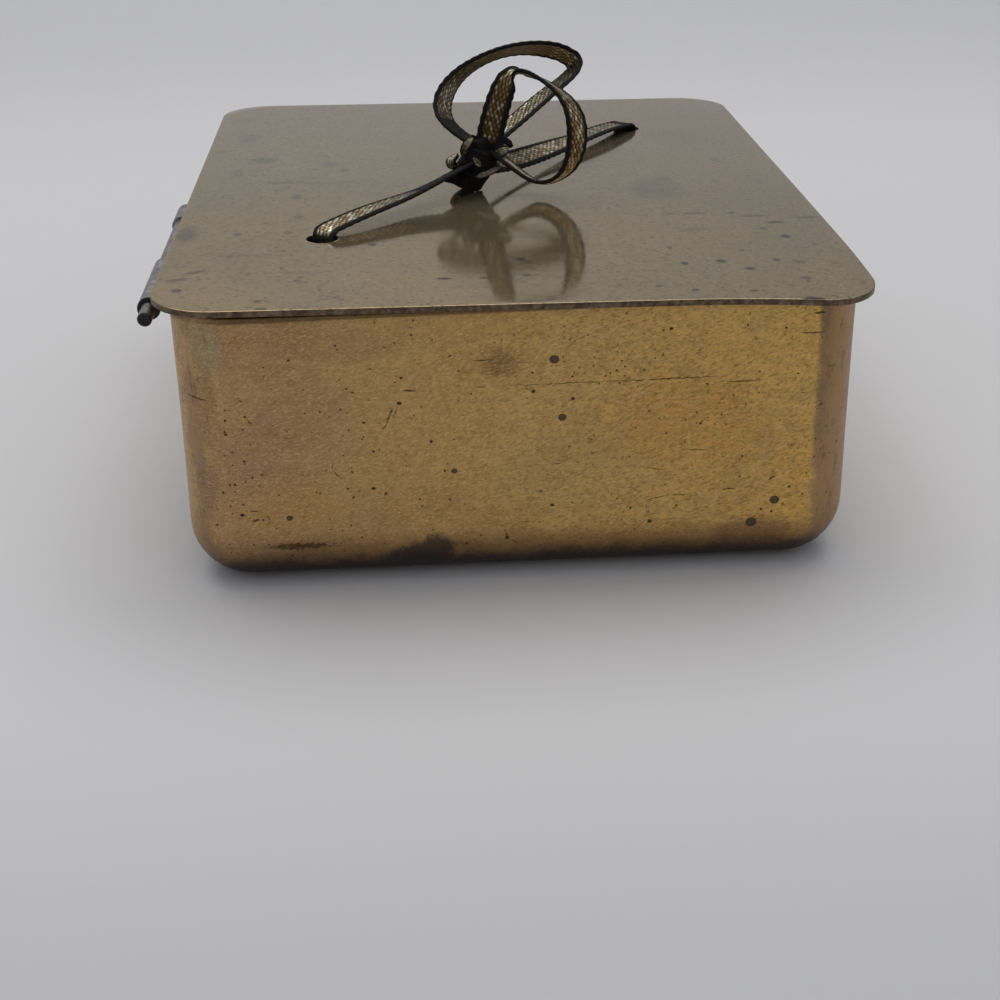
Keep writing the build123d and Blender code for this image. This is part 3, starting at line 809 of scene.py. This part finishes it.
def strip_grid(line, width_way, run, width=RIBBON_WIDTH, seed=0.0, share=BRAID_SHARE):
    """The ribbon's surface round a line: v goes over the top face from edge to edge and back under.

    A point is line + width_way x v x half width + face_way x thickness. The end rings shrink to the
    line."""
    along = unit(np.gradient(line, axis=0))
    width_way = unit(width_way - (width_way * along).sum(-1, keepdims=True) * along)
    face_way = np.cross(along, width_way)
    turn = np.linspace(0, 2 * np.pi, 2 * STRIP_LANES, endpoint=False)
    v = -np.cos(turn)
    side = np.sign(np.sin(turn)).round()
    u_grid, v_grid = np.meshgrid(run, v, indexing="ij")
    thickness, values = braid_pattern(u_grid, v_grid, seed, share)
    half = width / 2 * (1 + 0.03 * np.sin(2 * np.pi * u_grid / EDGE_WAVE + seed))
    points = (
        line[:, None]
        + width_way[:, None] * (v_grid * half)[..., None]
        + face_way[:, None] * (side * thickness)[..., None]
    )
    points[0] = line[0]
    points[-1] = line[-1]
    return points, values


def make_strip(name, route, leans, painted_light, material, seed, looks):
    """A stretch of ribbon along a route, both in millimetres. At each of the route's points the ribbon's
    width lies along that point's lean, and its yarn gets that point's painted light: under 1 it is painted
    darker towards black as painted shade, over 1 brighter as painted highlight.

    Its looks are how many millimetres from its start and from its end the yarn is painted black as painted
    shade, the share of the width that the yarn takes, and how far it is turned from gold to silver, 0 to 1."""
    shade_start, shade_end, share, pale = looks
    route, leans = np.array(route, float), unit(np.array(leans, float))
    line = smooth_line(route)
    edge = smooth_line(route + leans)
    light_level = np.interp(np.linspace(0, len(route) - 1, len(line)), range(len(route)), painted_light)[:, None]
    line, ways, light_level, run = evenly(line, STRIP_STEP, edge - line, light_level)
    points, values = strip_grid(line, ways, run, seed=seed, share=share)
    # The yarn is painted black near the ends as painted shade
    out_of_shade = np.clip(run - shade_start, 0, 1) * np.clip(run[-1] - run - shade_end, 0, 1)
    values["yarn"] = values["yarn"] * out_of_shade[:, None]
    # Painted light and shade: the crown value, which darkens the yarn where it is low, is scaled along the
    # ribbon
    values["crown"] = values["crown"] * light_level
    values["tone"] = pale + (1 - pale) * values["tone"]
    piece = make_piece(name, [grid_part(points)], material, values, merge=0.0005, on_lid=True)
    return piece, seated(line) * MM, run[-1] * MM


def upright(origin, turn):
    """Two directions of an upright plane: the level one, turned degrees from +X towards +Y, and straight
    up."""
    angle = radians(turn)
    along = np.array([np.cos(angle), np.sin(angle), 0.0])
    return np.array([*origin, LID_TOP]), along, np.array([0.0, 0.0, 1.0])


def leaning(origin, turn, lean):
    """As upright, from a point in space, with the plane leant back by lean degrees."""
    level = upright(origin[:2], turn)[1]
    back = np.array([-level[1], level[0], 0.0])
    tilt = radians(lean)
    return np.array(origin), level, back * np.sin(tilt) + np.array([0, 0, 1.0]) * np.cos(tilt)


def in_plane(plane, points):
    """Points given by two distances in a plane, moved into space."""
    origin, along, up = plane
    points = np.array(points)
    return origin + points[:, :1] * along + points[:, 1:] * up


# The bow's routes, in millimetres along their planes and up, with the way that the width leans at each
# point and the painted light on the yarn there: under 1 painted shade, over 1 painted highlight
LEFT_RUN = [(0.0, -0.9), (0.0, 1.0), (3.8, 1.5), (10.0, 2.1), (17.5, 2.45), (25.0, 3.1), (33.0, 4.6)]
LEFT_LEANS = [
    (-0.72, 0.69, 0), (-0.72, 0.69, 0), (-0.72, 0.69, 0), (-0.7, 0.69, -0.02), (-0.62, 0.62, -0.14),
    (-0.46, 0.47, -0.3), (-0.46, 0.47, -0.3),
]
RIGHT_RUN = [
    (53.05, -0.9), (53.05, 1.0), (49.3, 1.35), (42.8, 1.75), (34.5, 1.8), (26.0, 2.05),
    (17.5, 2.25), (9.5, 2.7), (2.0, 3.8),
]
RIGHT_LEANS = [
    (-0.8, 0.6, 0), (-0.8, 0.6, 0), (-0.8, 0.6, 0), (-0.8, 0.6, 0), (-0.8, 0.57, 0.05),
    (-0.75, 0.52, 0.28), (-0.65, 0.5, 0.46), (-0.6, 0.5, 0.5), (-0.6, 0.5, 0.5),
]
FRONT_LOOP = [
    (1.3, 5.4), (2.4, 11.0), (5.3, 19.3), (9.2, 19.9), (15.9, 16.2), (17.7, 10.4),
    (16.0, 4.2), (10.9, 1.7), (6.8, 3.9), (2.6, 6.8),
]
FRONT_LEANS = [
    (-0.94, 0.25, 0.1), (-0.94, 0.2, 0.1), (-0.7, 0.7, -0.1), (0.3, 0.84, -0.33), (0.6, 0.75, -0.25),
    (0.82, 0.57, 0.0), (0.7, 0.68, 0.0), (0.25, 0.9, -0.3), (0.35, 0.92, -0.19), (0.35, 0.92, -0.19),
]
BACK_LOOP = [
    (1.0, 2.6), (-2.6, 6.2), (-3.4, 11.0), (1.2, 16.8), (8.4, 20.8), (16.0, 22.2),
    (23.0, 20.4), (24.6, 16.6), (15.8, 11.3), (7.6, 5.8), (2.0, 2.4),
]
BACK_LEANS = [
    (-0.7, -0.6, 0.3), (-0.7, -0.6, 0.35), (-0.7, -0.58, 0.42), (-0.3, -0.75, 0.55), (0.15, -0.75, 0.6),
    (0.3, -0.75, 0.6), (0.22, -0.63, 0.74), (0.6, -0.75, 0.3), (0.71, -0.7, 0.1), (0.71, -0.7, 0.1),
    (0.71, -0.7, 0.1),
]
LEFT_PAINTED_LIGHT = [1.1, 1.1, 1.1, 1.1, 0.8, 0.3, 0.2]
RIGHT_PAINTED_LIGHT = [0.3, 0.3, 0.7, 0.8, 0.8, 0.85, 0.9, 0.8, 0.6]
FRONT_PAINTED_LIGHT = [0.55, 0.6, 0.75, 0.9, 0.95, 1.0, 1.0, 1.0, 1.2, 1.2]
BACK_PAINTED_LIGHT = [0.6, 0.6, 0.75, 0.65, 0.42, 0.2, 0.35, 0.6, 0.75, 0.85, 0.85]
FRONT_LOOP_TURN = -26.7
BACK_LOOP_ORIGIN = (-2.6, -4.5, LID_TOP + 4.9)
BACK_LOOP_TURN = 20.0
BACK_LOOP_LEAN = 50.0


def ring_strip(centre, axis, radius, width, seed, squash=1.0):
    """One black turn of ribbon round a knot: a circle about axis, flattened to squash along the second
    direction and drifting along the axis, so that its ends pass each other."""
    axis = unit(np.array(axis, float))
    first = unit(np.cross(axis, (0.3, 0.1, 1.0)))
    second = np.cross(axis, first)
    full_turn = 2 * np.pi * RING_TURNS
    angle = np.linspace(0, full_turn, int(radius * full_turn / STRIP_STEP))[:, None]
    drift = np.linspace(-0.5, 0.5, len(angle))[:, None] * axis
    line = np.array(centre) + radius * (np.cos(angle) * first + squash * np.sin(angle) * second) + drift
    run = np.concatenate([[0], np.cumsum(np.linalg.norm(np.diff(line, axis=0), axis=1))])
    points, values = strip_grid(line, np.broadcast_to(axis, line.shape), run, width, seed)
    values["yarn"] = np.zeros_like(values["yarn"])
    return points, values


def make_knot(name, rings, core_centre, core_axes, material, folds=()):
    """A lump of bunched ribbon with turns of ribbon about it. The lump is an ellipsoid with the three half
    axes core_axes, its radius uneven by sine waves of both angles."""
    around = np.linspace(0, 2 * np.pi, 64, endpoint=False)
    lat, lon = np.meshgrid(np.linspace(0, np.pi, 40), around, indexing="ij")
    lumps = 1 + (0.08 * np.sin(3 * lon + 2 * lat) + 0.05 * np.sin(7 * lat + 2 * lon)) * np.sin(lat)
    ball = np.stack([np.sin(lat) * np.cos(lon), np.sin(lat) * np.sin(lon), np.cos(lat)], axis=-1)
    core = np.array(core_centre) + ball * lumps[..., None] @ np.array(core_axes)
    plain = dict.fromkeys(("yarn", "tone", "crown"), np.zeros(lat.size))
    surfaces = [*(ring_strip(*ring) for ring in rings), *folds, (core, plain)]
    parts = [grid_part(points) for points, _ in surfaces]
    values = {key: np.concatenate([held[key].ravel() for _, held in surfaces]) for key in plain}
    return make_piece(name, parts, material, values, merge=0.0005, on_lid=True)


def fold(route, width_way, width, seed, yarn, pale):
    """A short piece of ribbon on the bow's knot, its route in millimetres from the knot's foot on the lid.
    Its width is times the 0.6th power of the way from the nearer end, up to FOLD_TAPER. Yarn, 0 to 1, is
    how much of it shows and pale how far it is turned to silver."""
    line, run = evenly(smooth_line(np.array(route) + (*KNOT_PLACE, LID_TOP)), STRIP_STEP)
    taper = np.clip(np.minimum(run, run[-1] - run) / FOLD_TAPER, 0.2, 1.0)[:, None] ** 0.6
    ways = np.broadcast_to(width_way, line.shape)
    points, values = strip_grid(line, ways, run, width * taper, seed, FOLD_SHARE)
    values["yarn"] = values["yarn"] * yarn
    values["crown"] = values["crown"] * 0.75
    values["tone"] = pale + (1 - pale) * values["tone"]
    return points, values


KNOT_RINGS = [
    # centre from the knot's foot, axis, radius, width, seed and squash
    ((0.4, 0.0, 6.0), (0.42, -0.1, 0.88), 2.7, 3.2, 1.0, 1.0),
    ((-1.2, 0.0, 3.0), (0.5, -0.3, 0.8), 2.6, 3.0, 2.0, 1.0),
    ((0.2, -0.2, 4.6), (0.9, 0.3, -0.3), 2.5, 2.6, 3.0, 1.15),
    ((-2.7, -1.0, 1.45), (0.5, 0.1, 1.0), 2.5, 1.9, 4.0, 0.7),
]
# The folds with pale yarn are partly painted highlight: their silver stands for the knot's bright
# highlights as well as silver yarn
KNOT_FOLDS = [
    # route, direction of the width, width, seed, yarn and paleness
    ([(-1.0, -1.8, 9.0), (-1.6, -2.4, 8.7), (-2.4, -2.5, 7.5), (-2.6, -1.6, 6.2)],
     (0.9, -0.2, -0.45), 1.4, 1.0, 1.0, 0.6),
    ([(-3.4, -1.2, 6.2), (-4.5, -2.3, 5.8), (-4.7, -2.5, 5.0), (-3.9, -1.6, 4.1)],
     (0.8, -0.4, 0.3), 1.8, 2.0, 1.0, 0.9),
    ([(-1.0, -2.7, 6.1), (-0.3, -3.2, 5.4), (0.3, -3.1, 4.6)],
     (0.8, 0.0, 0.5), 1.4, 3.0, 0.6, 0.3),
    ([(-0.6, -2.6, 2.9), (0.7, -3.0, 3.3), (2.0, -2.7, 3.8), (3.4, -2.0, 4.3)],
     (-0.3, 0.1, 0.95), 1.2, 4.0, 0.8, 0.8),
    ([(2.4, -2.0, 6.2), (3.4, -2.6, 6.9), (4.9, -2.5, 7.5)],
     (-0.4, 0.1, 0.9), 1.9, 5.0, 1.0, 1.0),
    ([(2.4, -1.6, 7.0), (3.4, -1.8, 8.4), (4.8, -1.8, 8.5), (5.4, -1.7, 7.3)],
     (-0.2, 0.5, 0.84), 1.1, 6.0, 0.0, 0.0),
    ([(-6.2, -4.1, 3.3), (-4.2, -3.2, 2.7), (-2.4, -2.2, 2.2), (-0.6, -1.2, 1.9)],
     (-0.4, 0.3, 0.86), 1.5, 7.0, 0.0, 0.0),
]
# Middle of the knot's lump from its foot, and the lump's three half axes
KNOT_MIDDLE = (-0.4, 0.0, 4.6)
KNOT_CORE = ((2.4, 0.0, -1.2), (0.0, 2.4, 0.0), (2.0, 0.0, 4.4))
END_KNOT_DROP = 2.9
END_KNOT_R = 2.1


def fit(piece, body, node):
    """The piece moves with a body, stands in for one of its solids, and has one material slot."""
    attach(piece, body)
    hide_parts(node)
    return piece


def make_bow_knot(material):
    """The knot's turns, folds and lump, each moved to its foot on the lid."""
    foot = np.array((*KNOT_PLACE, LID_TOP))
    rings = [(foot + centre, *ring) for centre, *ring in KNOT_RINGS]
    folds = [fold(*shape) for shape in KNOT_FOLDS]
    knot = make_knot("ribbon_knot", rings, foot + KNOT_MIDDLE, KNOT_CORE, material, folds)
    return fit(knot, "lid", "ribbon_bow_knot")


def make_end_knot(side, hole, turn, material):
    """The knot that keeps an end of the ribbon from slipping out of its hole: a ball with two crossing
    turns, turned by so many radians."""
    centre = (*hole, LID_UNDER - END_KNOT_DROP)
    rings = [
        (centre, (np.cos(turn), np.sin(turn), 0.35), 2.0, 2.6, turn, 1.0),
        (centre, (-np.sin(turn), np.cos(turn), 0.6), 1.9, 2.4, turn + 2, 1.1),
    ]
    knot = make_knot(f"ribbon_{side}_end", rings, centre, END_KNOT_R * np.eye(3), material)
    return fit(knot, "lid", f"ribbon_{side}_end_knot")


def make_ribbon(material):
    """The bow's knot, the two end knots and the four stretches of ribbon between them."""
    knot = make_bow_knot(material)
    left_end = make_end_knot("left", LEFT_HOLE, 0.4, material)
    right_end = make_end_knot("right", RIGHT_HOLE, 1.9, material)

    def upright_between(start, end):
        """Upright plane through two places on the lid."""
        return upright(start, degrees(atan2(end[1] - start[1], end[0] - start[0])))

    # name, plane, route with leans and painted light, looks, lay and the pieces that belong to it
    stretches = (
        ("left_run", upright_between(LEFT_HOLE, KNOT_PLACE), (LEFT_RUN, LEFT_LEANS, LEFT_PAINTED_LIGHT),
         (1.0, 12.5, 0.62, 0.15), "taut", [left_end]),
        ("right_run", upright_between(KNOT_PLACE, RIGHT_HOLE), (RIGHT_RUN, RIGHT_LEANS, RIGHT_PAINTED_LIGHT),
         (5.2, 3.0, 0.66, 0.1), "taut", [right_end]),
        ("front_loop", upright(KNOT_PLACE, FRONT_LOOP_TURN), (FRONT_LOOP, FRONT_LEANS, FRONT_PAINTED_LIGHT),
         (2.6, 2.0, 0.6, 0.0), "loose", [knot]),
        ("back_loop", leaning(BACK_LOOP_ORIGIN, BACK_LOOP_TURN, BACK_LOOP_LEAN),
         (BACK_LOOP, BACK_LEANS, BACK_PAINTED_LIGHT), (7.0, 3.0, 0.72, 0.3), "loose", []),
    )
    for number, (name, plane, (route, leans, painted_light), looks, lay, with_pieces) in enumerate(stretches):
        points = in_plane(plane, route)
        piece_name = "ribbon_" + name + "_braid"
        strip, line, length = make_strip(piece_name, points, leans, painted_light, material, 1.7 * number, looks)
        fit(strip, "lid", "ribbon_" + name)


# Stage, light and camera

ROOM_LOW = 0.355
ROOM_HIGH = 0.72
ROOM_COLOUR = (0.94, 0.955, 1.0, 1.0)
LAMP_PLACE = (-0.03, 0.34, 1.0)
LAMP_SIZE = (1.2, 0.9)
LAMP_WATTS = 7.2


def make_stage(material):
    """A sheet that lies flat and sweeps up behind: a section of flat, quarter circle and wall, carried
    sideways."""
    reach, wall, bend, top, half_width = 900.0, 700.0, 250.0, 1100.0, 1500.0
    sweep = arc((wall - bend, bend), bend, 270, 360, 24)
    section = np.concatenate([[(-reach, 0.0)], sweep, [(wall, top)]])
    grid = np.empty((len(section), 2, 3))
    grid[..., 0] = (-half_width, half_width)
    grid[..., 1] = section[:, :1]
    grid[..., 2] = section[:, 1:]
    make_piece("sheet_and_backdrop", [grid_part(grid, flip=True, closed=False)], material)


def make_light():
    """A room that is bright above and dimmer towards the horizon, and one large soft lamp overhead."""
    world = bpy.data.worlds.new("studio")
    world.use_nodes = True
    tree = world.node_tree
    parts = tree.nodes.new("ShaderNodeSeparateXYZ")
    tree.links.new(tree.nodes.new("ShaderNodeTexCoord").outputs["Generated"], parts.inputs["Vector"])
    level = tree.nodes.new("ShaderNodeMapRange")
    for key, number in (("From Min", 0.0), ("From Max", 0.9), ("To Min", ROOM_LOW), ("To Max", ROOM_HIGH)):
        level.inputs[key].default_value = number
    tree.links.new(parts.outputs["Z"], level.inputs["Value"])
    tree.links.new(level.outputs["Result"], tree.nodes["Background"].inputs["Strength"])
    tree.nodes["Background"].inputs["Color"].default_value = ROOM_COLOUR
    bpy.context.scene.world = world
    lamp = bpy.data.lights.new("overhead", "AREA")
    lamp.shape = "RECTANGLE"
    lamp.size, lamp.size_y = LAMP_SIZE
    lamp.energy = LAMP_WATTS
    holder = bpy.data.objects.new("overhead", lamp)
    holder.location = LAMP_PLACE
    holder.rotation_euler = (-Vector(LAMP_PLACE)).to_track_quat("-Z", "Y").to_euler()
    bpy.context.scene.collection.objects.link(holder)


def make_camera():
    """The photograph's camera, placed from the lid before it is tilted and then seated with it."""
    camera = bpy.data.cameras.new("camera")
    camera.sensor_width = SENSOR_MM
    camera.lens = SENSOR_MM * FOCAL_PIXELS / PICTURE_PIXELS
    camera.clip_start = 0.01
    holder = bpy.data.objects.new("camera", camera)
    turn = Matrix.Rotation(radians(CAMERA_TURN), 4, "Z")
    dip = Matrix.Rotation(radians(90 - CAMERA_DIP), 4, "X")
    roll = Matrix.Rotation(radians(CAMERA_ROLL), 4, "Z")
    placed = lid_seat @ Matrix.Translation(CAMERA_PLACE) @ turn @ dip @ roll
    placed.translation *= MM
    holder.matrix_world = placed
    bpy.context.scene.collection.objects.link(holder)
    bpy.context.scene.camera = holder


brass = PanBrass().material
lid_brass = lid_finish()
steel = steel_finish()
braid = braid_finish()

fit(make_pan(brass), "box", "box_body")
fit(make_lid(lid_brass), "lid", "lid_plate")

for node in ("front_knuckle", "rear_knuckle", "lid_knuckle", "hinge_pin"):
    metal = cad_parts[node]
    metal.data.materials.clear()
    metal.data.materials.append(steel)

make_ribbon(braid)
make_stage(stage_finish())
make_light()
make_camera()
bpy.context.scene.view_settings.view_transform = "Standard"
